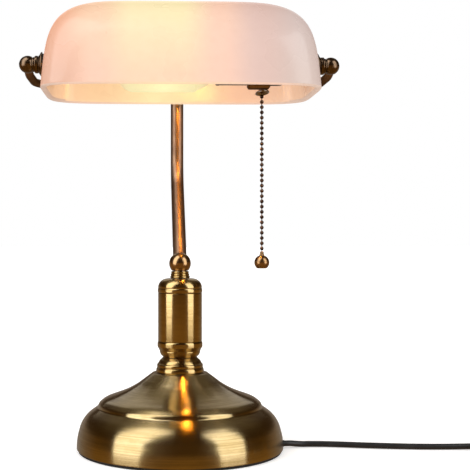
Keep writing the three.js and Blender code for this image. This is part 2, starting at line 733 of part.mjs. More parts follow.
// Where the mains lead lies, from the bushing to the place where the coil begins.
const CORD_ROUTE = [
  [87.6, 0, 4], [92, 0.8, 3.9], [97, 2.6, 3.2], [103, 4, 2.6], [110, 4.4, 2.55], [120, 3.8, 2.55],
  [130, 2.3, 2.55], [142, -0.2, 2.55], [154, -2.8, 2.55], [167, -5.2, 2.55], [180, -7.5, 2.55],
  [193, -9.2, 2.55], [206, -10.3, 2.55], [219, -10.7, 2.55], [232, -10.4, 2.55], [245, -9.9, 2.55],
  [257.4, -9.5, 2.55],
];

// Where the lead lies between the coil and the plug.
const TAIL_ROUTE = [
  [295.3, -5.7, 11.4], [299.2, -2.3, 10.3], [302.2, 1.9, 9], [304.3, 7, 7.7], [304.9, 11.8, 6.95],
];

function lead(route, steps, sides) {
  const path = new THREE.CatmullRomCurve3(route.map((p) => new THREE.Vector3(...p)), false, 'centripetal');
  return swept(circle(CORD_R, sides), path, steps);
}

function cordCoil() {
  const round = 2;
  const { inner, outer, height } = COIL;
  const corners = [[outer - round, 0], [outer, round], [outer, height - round], [outer - round, height]];
  const bore = [[inner + round, height], [inner, height - round], [inner, round], [inner + round, 0]];
  return ring([...corners, ...bore], 24);
}

// A band round the coil's section, a little clear of it, open towards the floor.
function tieBand() {
  const half = (COIL.outer - COIL.inner) / 2;
  const [low, high, thick] = [0.05, COIL.height + 0.4, 0.8];
  const points = [
    [-half - 0.4 - thick, low], [-half - 0.4, low], [-half - 0.4, high], [half + 0.4, high],
    [half + 0.4, low], [half + 0.4 + thick, low], [half + 0.4 + thick, high + thick],
    [-half - 0.4 - thick, high + thick],
  ];
  const shape = new THREE.Shape(points.map(([x, y]) => new THREE.Vector2(x, y)));
  const band = new THREE.ExtrudeGeometry(shape, { depth: 5, bevelEnabled: false });
  return closed(band.rotateX(Math.PI / 2));
}

// A flat two-pin plug, waisted towards the lead and lying on its broad side.
function plugBody() {
  const { halfWidth: w, halfThickness: t, length: l } = PLUG;
  const outline = [[-4, 0], [-5, 8], [-13, 15], [-w, 22], [-w, l - 3], [-w + 3, l]];
  const mirror = outline.map(([x, y]) => [-x, y]).reverse();
  const shape = new THREE.Shape([...outline, ...mirror].map(([x, y]) => new THREE.Vector2(x, y)));
  const bevel = 2;
  const body = new THREE.ExtrudeGeometry(shape, {
    depth: 2 * t - 2 * bevel,
    bevelThickness: bevel,
    bevelSize: bevel,
    bevelOffset: -bevel,
    bevelSegments: 2,
  });
  return closed(body.translate(0, 0, bevel));
}

function plugPin() {
  return turned([[0, 0], [2, 0], [2, 17.6], [1.3, 19], [0, 19]], 12).rotateX(-Math.PI / 2);
}

function leads() {
  add('inner_lead', 'cord', innerLead());
  add('power_cord', 'cord', lead(CORD_ROUTE, 16, 10));
  add('cord_coil', 'cord', cordCoil(), [COIL.x, COIL.y, 0.05]);
  const middle = (COIL.inner + COIL.outer) / 2;
  add('cord_tie', 'rubber', tieBand(), [COIL.x + middle, COIL.y + 2.5, 0]);
  add('cord_tail', 'cord', lead(TAIL_ROUTE, 5, 10));
  add('plug_body', 'rubber', plugBody(), [PLUG.x, PLUG.y, 0.05]);
  const pinY = PLUG.y + PLUG.length + GAP;
  for (const [label, x] of [['a', -9.5], ['b', 9.5]]) {
    add(`plug_pin_${label}`, 'nickel', plugPin(), [PLUG.x + x, pinY, PLUG.halfThickness]);
  }
}

base();
column();
yoke();
add('shade', 'opal', shade());
socket();
chain();
bulb();
leads();

export default lamp;
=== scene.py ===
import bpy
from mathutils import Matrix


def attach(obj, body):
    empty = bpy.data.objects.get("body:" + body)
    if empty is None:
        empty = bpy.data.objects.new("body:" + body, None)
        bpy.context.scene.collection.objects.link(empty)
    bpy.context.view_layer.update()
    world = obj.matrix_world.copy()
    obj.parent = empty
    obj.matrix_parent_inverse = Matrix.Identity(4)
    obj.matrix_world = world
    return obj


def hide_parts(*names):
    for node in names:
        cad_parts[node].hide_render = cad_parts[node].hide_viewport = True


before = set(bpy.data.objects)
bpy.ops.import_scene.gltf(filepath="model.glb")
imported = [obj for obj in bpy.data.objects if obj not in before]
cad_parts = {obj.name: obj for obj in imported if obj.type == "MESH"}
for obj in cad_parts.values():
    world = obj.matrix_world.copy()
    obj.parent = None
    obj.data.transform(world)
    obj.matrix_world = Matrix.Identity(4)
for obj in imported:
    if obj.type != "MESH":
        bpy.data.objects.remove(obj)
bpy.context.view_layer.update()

# The looks of a banker desk lamp: turned and brushed antique brass, a bronze stem and yoke, a
# lit opal glass shade, a pull chain, and a mains lead wound into a coil. Shapes are worked out
# in millimetres in the frame of the CAD and become metres when a piece is made.
import math

import bmesh
import bpy
from mathutils import Vector

MM = 0.001
ROD_BORE = 5.3
PIVOT_HOLE = 5.3
LEAD_HOLE = 3.4
PIVOT_Z = 320
YOKE_Z = 313.2
YOKE_R = 3.6
STEM_Y = 77
STEM_R = 5.7
ELBOW_X = 126.4
ELBOW_R = 7.3
SHADE_LOW = 295.4
SHADE_HIGH = 371.7
SHADE_HALF_LENGTH = 113.6
SHADE_HALF_DEPTH = 64
GLASS = 4.5
CHAIN_X = 68.5


def make_camera():
    """Level, in front of the column and a little to its left, with more room on the right."""
    data = bpy.data.cameras.new("camera")
    data.sensor_width = 36
    data.lens = 78.62
    data.shift_x = 0.117
    camera = bpy.data.objects.new("camera", data)
    bpy.context.scene.collection.objects.link(camera)
    side, back, height = -0.030, -0.856, 0.1785
    camera.location = (side, back, height)
    camera.rotation_euler = (math.pi / 2, 0, math.atan2(side, -back))
    bpy.context.scene.camera = camera


make_camera()

# ---------------------------------------------------------------------------------------------
# Outlines. An outline is a list of (radius, height) points.


def along(points, steps):
    """A smooth line through the points, with this many steps between each two."""
    line = [Vector(p) for p in points]
    line = [2 * line[0] - line[1], *line, 2 * line[-1] - line[-2]]
    smooth = []
    for before, start, end, after in zip(line, line[1:], line[2:], line[3:]):
        for step in range(steps):
            t = step / steps
            a = 2 * start
            b = (end - before) * t
            c = (2 * before - 5 * start + 4 * end - after) * t * t
            d = (3 * start - before - 3 * end + after) * t * t * t
            smooth.append((a + b + c + d) / 2)
    smooth.append(line[-2])
    return [tuple(p) for p in smooth]


def arc(centre, radius, start, end, steps):
    """Points on a circle, from one angle to another."""
    turns = [start + (end - start) * i / steps for i in range(steps + 1)]
    return [(centre[0] + radius * math.cos(t), centre[1] + radius * math.sin(t)) for t in turns]


def eased(outline, reach, closed=True):
    """The outline with its sharp corners rounded over a short reach."""
    points = [Vector(p) for p in outline]
    count = len(points)
    out = []
    for i, corner in enumerate(points):
        at_end = not closed and i in (0, count - 1)
        before = points[i - 1] - corner
        after = points[(i + 1) % count] - corner
        if at_end or math.pi - before.angle(after) < math.radians(18):
            out.append(tuple(corner))
            continue
        a = corner + before.normalized() * min(reach, before.length * 0.45)
        b = corner + after.normalized() * min(reach, after.length * 0.45)
        for t in (0, 0.3, 0.7, 1):
            out.append(tuple(a * (1 - t) ** 2 + corner * 2 * t * (1 - t) + b * t * t))
    return out


def inset(outline, wall):
    """The outline moved inwards by a wall thickness."""
    moved = []
    last = len(outline) - 1
    for i, (r, z) in enumerate(outline):
        r0, z0 = outline[max(i - 1, 0)]
        r1, z1 = outline[min(i + 1, last)]
        length = math.hypot(r1 - r0, z1 - z0)
        moved.append((r - (z1 - z0) / length * wall, z + (r1 - r0) / length * wall))
    return moved


# ---------------------------------------------------------------------------------------------
# Meshes. Each function returns (points, faces) in millimetres.


def lathe(outline, sides, axis="z"):
    """The outline turned about Z, or about X with its height along +X or -X."""
    closed = outline[0][0] > 1e-6 and outline[-1][0] > 1e-6
    points, rings, faces = [], [], []
    for r, h in outline:
        count = 1 if r < 1e-6 else sides
        rings.append(list(range(len(points), len(points) + count)))
        for i in range(count):
            turn = 2 * math.pi * i / sides
            c, s = r * math.cos(turn), r * math.sin(turn)
            points.append({"z": (c, s, h), "x": (h, c, s), "-x": (-h, c, s)}[axis])
    pairs = list(zip(rings, rings[1:]))
    if closed:
        pairs.append((rings[-1], rings[0]))
    for low, high in pairs:
        for i in range(sides):
            j = (i + 1) % sides
            corners = [low[i % len(low)], low[j % len(low)], high[j % len(high)], high[i % len(high)]]
            faces.append(list(dict.fromkeys(corners)))
    return points, faces


def sweep(path, section):
    """A section of (across, up) points carried along the path without twisting."""
    path = [Vector(p) for p in path]
    points, faces = [], []
    count = len(section)
    tangent = (path[1] - path[0]).normalized()
    across = tangent.orthogonal().normalized()
    for i, centre in enumerate(path):
        ahead = path[min(i + 1, len(path) - 1)] - path[max(i - 1, 0)]
        turn = tangent.rotation_difference(ahead.normalized())
        tangent = ahead.normalized()
        across = (turn @ across).normalized()
        up = tangent.cross(across)
        points += [centre + across * a + up * b for a, b in section]
    for i in range(len(path) - 1):
        for k in range(count):
            n = (k + 1) % count
            faces.append([i * count + k, i * count + n, (i + 1) * count + n, (i + 1) * count + k])
    faces.append(list(range(count)))
    faces.append(list(range((len(path) - 1) * count, len(path) * count)))
    return points, faces


def circle(radius, sides):
    return arc((0, 0), radius, 0, 2 * math.pi * (1 - 1 / sides), sides - 1)


# ---------------------------------------------------------------------------------------------
# Materials.


class Look:
    """A material while its nodes are being wired up, with one Principled shader."""

    def __init__(self, name, **sockets):
        self.material = bpy.data.materials.new(name)
        self.material.use_nodes = True
        self.tree = self.material.node_tree
        self.tree.nodes.clear()
        self.shader = self.add("ShaderNodeBsdfPrincipled")
        self.add("ShaderNodeOutputMaterial", {"Surface": self.shader.outputs[0]})
        self.set(self.shader, {key.replace("_", " "): value for key, value in sockets.items()})
        self.place = self.add("ShaderNodeTexCoord").outputs["Object"]

    def set(self, node, values):
        for key, value in values.items():
            socket = node.inputs[key]
            if isinstance(value, bpy.types.NodeSocket):
                self.tree.links.new(value, socket)
            elif isinstance(value, tuple) and len(value) == 3 and socket.type == "RGBA":
                socket.default_value = (*value, 1)
            else:
                socket.default_value = value

    def add(self, kind, values=None, **properties):
        node = self.tree.nodes.new(kind)
        for key, value in properties.items():
            setattr(node, key, value)
        self.set(node, values or {})
        return node

    def maths(self, operation, a, b=0.0):
        return self.add("ShaderNodeMath", {0: a, 1: b}, operation=operation).outputs[0]

    def noise(self, scale, detail=3.0, place=None, rough=0.5):
        values = {"Vector": place or self.place, "Scale": scale, "Detail": detail, "Roughness": rough}
        return self.add("ShaderNodeTexNoise", values).outputs["Fac"]

    def span(self, value, low, high, to_low=0.0, to_high=1.0, smooth=False):
        kind = "SMOOTHSTEP" if smooth else "LINEAR"
        values = {"Value": value, "From Min": low, "From Max": high, "To Min": to_low, "To Max": to_high}
        return self.add("ShaderNodeMapRange", values, interpolation_type=kind).outputs[0]

    def ramp(self, value, stops):
        node = self.add("ShaderNodeValToRGB", {0: value})
        ramp = node.color_ramp
        ramp.interpolation = "EASE"
        while len(ramp.elements) < len(stops):
            ramp.elements.new(1.0)
        for element, (position, colour) in zip(ramp.elements, stops):
            element.position = position
            element.color = (*colour, 1)
        return node.outputs[0]

    def mix(self, share, a, b):
        node = self.add("ShaderNodeMix", data_type="RGBA")
        self.set(node, {0: share, 6: a, 7: b})
        return node.outputs[2]

    def bump(self, height, strength, depth, normal=None):
        values = {"Height": height, "Strength": strength, "Distance": depth}
        if normal:
            values["Normal"] = normal
        return self.add("ShaderNodeBump", values).outputs[0]

    def shade(self, **sockets):
        self.set(self.shader, {key.replace("_", " "): value for key, value in sockets.items()})
        return self.material

    def turned(self, axis, around, across):
        """Coordinates that change slowly round the axis and fast along the outline."""
        split = self.add("ShaderNodeSeparateXYZ", {0: self.place}).outputs
        a, b, height = {"z": (0, 1, 2), "x": (1, 2, 0)}[axis]
        squares = [self.maths("MULTIPLY", split[i], split[i]) for i in (a, b)]
        radius = self.maths("SQRT", self.maths("ADD", self.maths("ADD", *squares), 1e-9))
        sides = [self.maths("MULTIPLY", self.maths("DIVIDE", split[i], radius), around) for i in (a, b)]
        run = self.maths("MULTIPLY", self.maths("ADD", radius, split[height]), across)
        return self.add("ShaderNodeCombineXYZ", {0: sides[0], 1: sides[1], 2: run}).outputs[0]


def metal(name, axis, light, dark, rough, anisotropy, lines=0.06):
    """Turned metal with brush lines round its axis, a patina, and a thin lacquer."""
    look = Look(name, Metallic=1.0, Anisotropic=anisotropy, Anisotropic_Rotation=0.25,
                Coat_Weight=0.3, Coat_Roughness=0.1, Coat_IOR=1.4)
    fine = look.noise(1.0, 2.0, look.turned(axis, 1.6, 2600.0))
    broad = look.noise(1.0, 3.0, look.turned(axis, 1.1, 420.0))
    patina = look.noise(38.0, 4.0, rough=0.6)
    speckle = look.span(look.noise(950.0, 2.0), 0.62, 0.74, 0.0, 0.3)
    tone = look.maths("ADD", look.maths("MULTIPLY", fine, 0.35), look.maths("MULTIPLY", broad, 0.3))
    tone = look.maths("ADD", tone, look.maths("MULTIPLY", patina, 0.35))
    colour = look.mix(look.span(tone, 0.36, 0.64, smooth=True), dark, light)
    colour = look.mix(speckle, colour, tuple(0.45 * c for c in dark))
    roughness = look.span(tone, 0.3, 0.7, rough + 0.04, rough - 0.03)
    normal = look.bump(fine, lines, 0.00005, look.bump(broad, lines / 2, 0.0001))
    round_axis = look.add("ShaderNodeTangent", direction_type="RADIAL", axis=axis.upper()).outputs[0]
    return look.shade(Base_Color=colour, Roughness=roughness, Normal=normal, Tangent=round_axis)


BRASS = ((0.56, 0.41, 0.19), (0.44, 0.30, 0.11))
BRONZE = ((0.25, 0.165, 0.10), (0.15, 0.095, 0.055))
brass_z = metal("antique brass, turned upright", "z", *BRASS, 0.21, 0.9)
brass_x = metal("antique brass, turned level", "x", *BRASS, 0.22, 0.4)
bronze_z = metal("dark bronze, turned upright", "z", *BRONZE, 0.26, 0.3)
bronze_x = metal("dark bronze, turned level", "x", *BRONZE, 0.24, 0.3)


def plain_metal(name, colour, rough, grain=600.0, metallic=1.0, stain=0.25):
    """Drawn, cast or plated metal with a fine grain and faint stains."""
    look = Look(name, Metallic=metallic)
    grains = look.noise(grain, 3.0)
    stains = look.noise(60.0, 4.0, rough=0.6)
    darker = tuple(0.55 * c for c in colour)
    tint = look.mix(look.span(stains, 0.45, 0.7, 0.0, stain, True), colour, darker)
    tint = look.mix(look.span(grains, 0.3, 0.7, 0.0, 0.2), tint, darker)
    roughness = look.span(grains, 0.3, 0.7, rough - 0.05, rough + 0.08)
    return look.shade(Base_Color=tint, Roughness=roughness, Normal=look.bump(grains, 0.12, 0.0001))


def moulded(name, colour, rough, grain, strength, coat=0.0):
    """Moulded rubber or plastic: a fine texture, worn a little lighter in places."""
    look = Look(name, Specular_IOR_Level=0.45, Coat_Weight=coat, Coat_Roughness=0.2)
    grains = look.noise(grain, 2.0)
    wear = look.noise(45.0, 4.0, rough=0.6)
    lighter = tuple(min(1.0, 1.6 * c + 0.01) for c in colour)
    tint = look.mix(look.span(wear, 0.4, 0.75, 0.0, 0.6, True), colour, lighter)
    roughness = look.span(grains, 0.3, 0.7, rough - 0.06, rough + 0.08)
    return look.shade(Base_Color=tint, Roughness=roughness, Normal=look.bump(grains, strength, 0.0001))


steel = plain_metal("steel", (0.42, 0.41, 0.40), 0.35)
nickel = plain_metal("nickel plate", (0.72, 0.69, 0.64), 0.22, stain=0.12)
iron = plain_metal("cast iron", (0.06, 0.06, 0.062), 0.72, grain=260.0, metallic=0.4)
foot = moulded("foot rubber", (0.010, 0.010, 0.011), 0.8, 500.0, 0.5)
fibre = moulded("vulcanised fibre", (0.028, 0.022, 0.019), 0.7, 1400.0, 0.4)
cord_black = moulded("lead, black plastic", (0.012, 0.012, 0.013), 0.42, 700.0, 0.12, 0.1)
plug_black = moulded("plug, black plastic", (0.014, 0.014, 0.015), 0.5, 1100.0, 0.35)
tie_black = moulded("tie, woven black", (0.02, 0.02, 0.021), 0.85, 2200.0, 0.7)


def porcelain_look():
    look = Look("porcelain", Coat_Weight=0.7, Coat_Roughness=0.12)
    specks = look.span(look.noise(700.0, 2.0), 0.66, 0.72)
    tint = look.mix(specks, (0.80, 0.77, 0.70), (0.52, 0.46, 0.38))
    return look.shade(Base_Color=tint, Roughness=look.span(look.noise(90.0), 0.3, 0.7, 0.25, 0.4))


def opal_look(name, inside):
    """Opal glass lit from within, the bulb's light through it painted as emission: warm and pale
    round the bulb, peach to one end of the shade and a painted shade of grey beyond the socket,
    with faint clouds in the glass. Outside, the matt colour is darker towards either end, also
    painted shade."""
    look = Look(name, Specular_IOR_Level=0.4, Coat_Weight=0.15, Coat_Roughness=0.08)
    split = look.add("ShaderNodeSeparateXYZ", {0: look.place}).outputs
    cloud = look.noise(22.0, 3.0, rough=0.55)
    drift = look.span(cloud, 0.3, 0.7, -0.002, 0.002)
    half = SHADE_HALF_LENGTH * MM
    across = look.span(look.maths("ADD", split[0], drift), -half, half)
    height = look.span(split[2], SHADE_LOW * MM, SHADE_HIGH * MM)
    # Painted glow: the bulb's light on the glass as emission colours across the shade, low and high up.
    if inside:
        low = high = [(0.0, (0.76, 0.36, 0.18)), (0.2, (0.84, 0.46, 0.20)), (0.40, (0.88, 0.72, 0.32)),
                      (0.55, (0.86, 0.58, 0.26)), (0.74, (0.86, 0.38, 0.22)), (1.0, (0.68, 0.34, 0.22))]
        glow, body, end_shade = 0.60, (0.42, 0.36, 0.27), 1.0
    else:
        low = [(0.0, (0.62, 0.22, 0.08)), (0.06, (0.63, 0.23, 0.08)), (0.2, (0.81, 0.38, 0.21)),
               (0.34, (0.81, 0.46, 0.21)), (0.49, (0.81, 0.45, 0.21)), (0.63, (0.79, 0.38, 0.22)),
               (0.77, (0.58, 0.32, 0.25)), (0.92, (0.51, 0.35, 0.29)), (1.0, (0.48, 0.33, 0.28))]
        high = [(0.0, (0.72, 0.22, 0.06)), (0.06, (0.76, 0.24, 0.06)), (0.2, (0.81, 0.43, 0.19)),
                (0.34, (0.84, 0.67, 0.28)), (0.49, (0.84, 0.68, 0.27)), (0.63, (0.80, 0.41, 0.24)),
                (0.77, (0.56, 0.31, 0.25)), (0.92, (0.50, 0.36, 0.33)), (1.0, (0.46, 0.33, 0.30))]
        glow, body, end_shade = 0.8, (0.275, 0.258, 0.246), 0.79
    light = look.mix(look.span(height, 0.1, 0.75), look.ramp(across, low), look.ramp(across, high))
    strength = look.span(cloud, 0.3, 0.7, glow * 0.98, glow * 1.02)
    tint = look.mix(look.span(look.noise(160.0, 2.0), 0.4, 0.7), body, tuple(0.94 * c for c in body))
    # Painted shade: outside, the matt colour darkens towards either end of the shade.
    end_shade_mask = [(0.0, (1, 1, 1)), (0.06, (1, 1, 1)), (0.22, (0, 0, 0)), (0.6, (0, 0, 0)),
                (0.92, (1, 1, 1))]
    tint = look.mix(look.ramp(across, end_shade_mask), tint, tuple(end_shade * c for c in body))
    ripple = look.bump(look.noise(55.0, 2.0), 0.05, 0.0008)
    return look.shade(Base_Color=tint, Roughness=look.span(cloud, 0.3, 0.7, 0.24, 0.32),
                      Emission_Color=light, Emission_Strength=strength, Normal=ripple)


def opal_edge_look():
    """The ground rim of the glass, duller than its skins, with the bulb's light through it painted as
    emission: warmest near the middle, dimmer and browner towards either end.
    """
    look = Look("opal glass, ground rim", Specular_IOR_Level=0.4)
    half = SHADE_HALF_LENGTH * MM
    x = look.add("ShaderNodeSeparateXYZ", {0: look.place}).outputs[0]
    # Painted glow of the bulb's light through the rim, set by place along the shade.
    rim_painted_glow = [(0.0, (0.44, 0.25, 0.17)), (0.14, (0.74, 0.41, 0.26)), (0.45, (0.95, 0.62, 0.28)),
              (0.8, (0.80, 0.44, 0.28)), (1.0, (0.54, 0.35, 0.26))]
    light = look.ramp(look.span(x, -half, half), rim_painted_glow)
    grain = look.noise(800.0, 2.0)
    return look.shade(Base_Color=look.mix(grain, (0.23, 0.20, 0.18), (0.28, 0.25, 0.22)),
                      Roughness=look.span(grain, 0.3, 0.7, 0.45, 0.6), Emission_Color=light,
                      Emission_Strength=0.72, Normal=look.bump(grain, 0.1, 0.0001))


def bulb_look():
    """A frosted bulb that glows most at its middle and less towards its neck and tip."""
    look = Look("bulb glass, frosted and lit", Specular_IOR_Level=0.5, Roughness=0.3)
    split = look.add("ShaderNodeSeparateXYZ", {0: look.place}).outputs
    middle = look.maths("ABSOLUTE", look.maths("ADD", split[0], 0.014))
    frost = look.noise(420.0, 3.0)
    glow = look.ramp(look.span(middle, 0.0, 0.044),
                     [(0.0, (1.0, 0.93, 0.42)), (0.6, (1.0, 0.84, 0.36)), (1.0, (0.9, 0.52, 0.22))])
    fading = look.span(middle, 0.0, 0.044, 0.74, 0.6)
    strength = look.maths("MULTIPLY", fading, look.span(frost, 0.3, 0.7, 0.97, 1.03))
    return look.shade(Base_Color=(0.22, 0.21, 0.18), Emission_Color=glow, Emission_Strength=strength,
                      Normal=look.bump(frost, 0.1, 0.0001))


def filament_look():
    look = Look("filament, glowing", Roughness=0.5)
    heat = look.span(look.noise(300.0, 2.0), 0.3, 0.7)
    return look.shade(Base_Color=(0.3, 0.2, 0.1), Emission_Strength=6.0,
                      Emission_Color=look.mix(heat, (1.0, 0.50, 0.14), (1.0, 0.72, 0.32)))


porcelain = porcelain_look()
opal_outside = opal_look("opal glass, outside", False)
opal_inside = opal_look("opal glass, inside", True)
opal_edge = opal_edge_look()
bulb_glass = bulb_look()
filament = filament_look()

# ---------------------------------------------------------------------------------------------
# Pieces.


def piece(name, mesh, material, body, nodes, at=(0, 0, 0), sharp=38):
    """One mesh piece that rides on a body and stands for these CAD nodes."""
    points, faces = mesh
    data = bpy.data.meshes.new(name)
    data.from_pydata([Vector(p) * MM for p in points], [], faces)
    tidy = bmesh.new()
    tidy.from_mesh(data)
    bmesh.ops.recalc_face_normals(tidy, faces=tidy.faces)
    tidy.to_mesh(data)
    tidy.free()
    data.polygons.foreach_set("use_smooth", [True] * len(data.polygons))
    data.set_sharp_from_angle(angle=math.radians(sharp))
    data.materials.append(material)
    made = bpy.data.objects.new(name, data)
    bpy.context.scene.collection.objects.link(made)
    made.location = Vector(at) * MM
    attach(made, body)
    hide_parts(*nodes)
    return made


def cut_by(target, mesh, at=(0, 0, 0)):
    """Takes the mesh's volume out of the target; the place is in the target's own frame."""
    tool = bpy.data.objects.new("tool", bpy.data.meshes.new("tool"))
    tool.data.from_pydata([(Vector(p) + Vector(at)) * MM for p in mesh[0]], [], mesh[1])
    tool.location = target.location
    bpy.context.scene.collection.objects.link(tool)
    cut = target.modifiers.new("cut", "BOOLEAN")
    cut.object = tool
    cut.operation = "DIFFERENCE"
    cut.solver = "EXACT"
    bpy.context.view_layer.update()
    result = bpy.data.meshes.new_from_object(target.evaluated_get(bpy.context.evaluated_depsgraph_get()))
    target.modifiers.clear()
    target.data = result
    bpy.data.objects.remove(tool)


def bar_x(radius, start, end, height):
    """A round bar along X, to cut with."""
    points, faces = lathe([(0, start), (radius, start), (radius, end), (0, end)], 48, "x")
    return [(x, y, z + height) for x, y, z in points], faces


# Leads ---------------------------------------------------------------------------------------

# Where the mains lead lies from the bushing to the coil, and from the coil to the plug.
ROUTE = [
    (83, 0, 4), (87.6, 0, 4), (92, 0.8, 3.9), (97, 2.6, 3.2), (103, 4, 2.6), (110, 4.4, 2.55),
    (120, 3.8, 2.55), (130, 2.3, 2.55), (142, -0.2, 2.55), (154, -2.8, 2.55), (167, -5.2, 2.55),
    (180, -7.5, 2.55), (193, -9.2, 2.55), (206, -10.3, 2.55), (219, -10.7, 2.55), (232, -10.4, 2.55),
    (245, -9.9, 2.55), (257.4, -9.5, 2.55), (268, -9.5, 2.55),
]
TAIL = [
    (284, -9.5, 12.5), (290, -8.4, 12.1), (295.3, -5.7, 11.4), (299.2, -2.3, 10.3), (302.2, 1.9, 9),
    (304.3, 7, 7.7), (304.9, 11.8, 6.95), (305, 16, 6.9),
]
COIL_X, COIL_Y = 278, -46
CORD_R = 2.5
PLUG_X, PLUG_Y = 305, 12.5


def stepped(turn, start, end):
    """0 before start, 1 after end, and a smooth step between them."""
    t = min(1, max(0, (turn - start) / (end - start)))
    return t * t * (3 - 2 * t)


def coil_points():
    """Wound inwards on the floor, outwards on a second layer, and once more round the top."""
    points = []
    steps, turns = 20, 8
    for i in range(steps * turns + 1):
        turn = i / steps
        inward = sum(stepped(turn, k + 0.75, k + 1) for k in range(3))
        outward = sum(stepped(turn, k + 0.25, k + 0.5) for k in (4, 5, 6))
        layer = stepped(turn, 3.5, 3.75) + stepped(turn, 7.08, 7.3)
        radius = 36.5 + 2 * CORD_R * (outward - inward)
        angle = math.pi / 2 - 2 * math.pi * turn
        x = COIL_X + radius * math.cos(angle)
        y = COIL_Y + radius * math.sin(angle)
        points.append((x, y, 2.55 + 2 * CORD_R * layer))
    return points


def make_cord():
    data = bpy.data.curves.new("mains_lead", "CURVE")
    data.dimensions = "3D"
    data.bevel_depth = CORD_R * MM
    data.bevel_resolution = 6
    data.resolution_u = 6
    data.use_fill_caps = True
    points = ROUTE + coil_points() + TAIL
    spline = data.splines.new("BEZIER")
    spline.bezier_points.add(len(points) - 1)
    for knot, point in zip(spline.bezier_points, points):
        knot.co = Vector(point) * MM
        knot.handle_left_type = knot.handle_right_type = "AUTO"
    data.materials.append(cord_black)
    lead = bpy.data.objects.new("mains_lead", data)
    bpy.context.scene.collection.objects.link(lead)
    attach(lead, "stand")
    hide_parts("power_cord", "cord_coil", "cord_tail")
    return lead


def tie_mesh():
    """A woven band over the coil's section, open towards the floor."""
    half, top, thick, wide = 10.6, 15.5, 0.8, 5
    low, out = 0.05, half + thick
    outer = [(-out, low), (-out, top + thick), (out, top + thick), (out, low)]
    inner = [(half, low), (half, top), (-half, top), (-half, low)]
    band = eased(outer, 2.6, False) + eased(inner, 1.9, False)
    count = len(band)
    points = [(COIL_X + 29 + x, COIL_Y + side * wide / 2, z) for side in (-1, 1) for x, z in band]
    skin = [[k, (k + 1) % count, count + (k + 1) % count, count + k] for k in range(count)]
    edges = []
    for start in (0, count):
        for k in range(count // 2 - 1):
            edges.append([start + k, start + k + 1, start + count - 2 - k, start + count - 1 - k])
    return points, skin + edges


def plug_width(y):
    """Half width of the plug at a distance from its lead end, with finger ridges."""
    outline = [(0, 3.9), (3, 4.1), (8, 5.4), (12, 9.5), (16, 14), (20, 16.7), (24, 17.5), (33, 17.5),
               (36, 17.2)]
    for (y0, w0), (y1, w1) in zip(outline, outline[1:]):
        if y <= y1:
            share = (y - y0) / (y1 - y0)
            width = w0 + (w1 - w0) * share
            break
    ridge = 0.35 * math.cos((y - 21) * 2 * math.pi / 3) if 21 <= y <= 30 else 0.35
    return width - 0.35 + ridge


def plug_mesh():
    """The moulded plug, lying flat: sections of rounded rectangles along its length."""
    length, sides, rows = 36, 40, 72
    points, faces = [], []
    for row in range(rows + 1):
        y = length * row / rows
        end = min(1, (length - y) / 2.5)
        round_in = 2.5 * (1 - math.sqrt(max(0.0, 1 - (1 - end) ** 2)))
        half = plug_width(y) - round_in
        thick = min(6.85, 3.6 + 3.25 * stepped(y, 2, 14)) - round_in
        power = 2.6 + 2.4 * stepped(y, 6, 18)
        for i in range(sides):
            turn = 2 * math.pi * i / sides
            c, s = math.cos(turn), math.sin(turn)
            reach = (abs(c) ** power + abs(s) ** power) ** (-1 / power)
            points.append((half * reach * c, y, 6.9 + thick * reach * s))
    for row in range(rows):
        for i in range(sides):
            j = (i + 1) % sides
            a, b = row * sides, (row + 1) * sides
            faces.append([a + i, a + j, b + j, b + i])
    faces.append(list(range(sides)))
    faces.append(list(range(rows * sides, (rows + 1) * sides)))
    return points, faces


def pin_mesh():
    outline = eased([(0, 0), (2, 0), (2, 9), (1.85, 9.2), (1.85, 17.6), (1.2, 18.9), (0, 19)], 0.3, False)
    points, faces = lathe(outline, 32)
    return [(x, z, y) for x, y, z in points], faces


bushing = [(CORD_R + 0.02, 66.6), (2.75, 66.6), (3, 68), (3, 82), (2.72, 87.2), (CORD_R + 0.02, 87.2)]
strain_relief = piece("strain_relief", lathe(eased(bushing, 0.12), 32, "x"), cord_black, "stand",
                      ["cord_bushing"], (0, 0, 4))
tie = piece("coil_tie", tie_mesh(), tie_black, "stand", ["cord_tie"])
plug = piece("plug", plug_mesh(), plug_black, "stand", ["plug_body"], (PLUG_X, PLUG_Y, 0))
for label, x in (("a", -9.5), ("b", 9.5)):
    piece(f"pin_{label}", pin_mesh(), nickel, "stand", [f"plug_pin_{label}"],
                      (PLUG_X + x, PLUG_Y + 36.3, 6.85))
mains_lead = make_cord()

# Base ----------------------------------------------------------------------------------------

BOWL = [(85.8, 2.2), (85.6, 7), (85.2, 11), (84.6, 14), (83.8, 17), (82.8, 20.6), (81.3, 24), (79.4, 27)]
SHOULDER = [(79.4, 27), (76, 30.6), (71, 34.2), (68.6, 35.8)]
BEAD = [(68.2, 36.5), (67.9, 37.7), (67.3, 39), (66.2, 40)]
FLARE = [(66.2, 40), (62.4, 42.6), (53.2, 46), (45.9, 49), (40, 52), (35, 55), (31, 58), (27, 61), (23, 64)]


def base_mesh():
    outside = along(BOWL, 4) + along(SHOULDER, 4)[1:] + along(BEAD, 2) + along(FLARE, 4)[1:]
    inside = inset(outside, 1.6)
    inside[0] = (inside[0][0], 2.2)
    inside[-1] = (22, 62.4)
    seat = [(ROD_BORE, 64), (ROD_BORE, 62.4)]
    return lathe(eased([*outside, *seat, *reversed(inside)], 0.35), 192)


brass_base = metal("antique brass, spun base", "z", (0.54, 0.42, 0.22), (0.40, 0.29, 0.12), 0.22, 0.95,
                   lines=0.025)
base = piece("spun_base", base_mesh(), brass_base, "stand", ["base_shell"])
cut_by(base, bar_x(LEAD_HOLE, 60, 92, 4))
pad = piece("felt_pad", lathe(eased([(0, 0), (84.4, 0), (84.4, 1.9), (0, 1.9)], 0.3, False), 128), foot,
            "stand", ["foot_pad"])
cut_by(pad, bar_x(LEAD_HOLE, 60, 92, 4))

# Column --------------------------------------------------------------------------------------

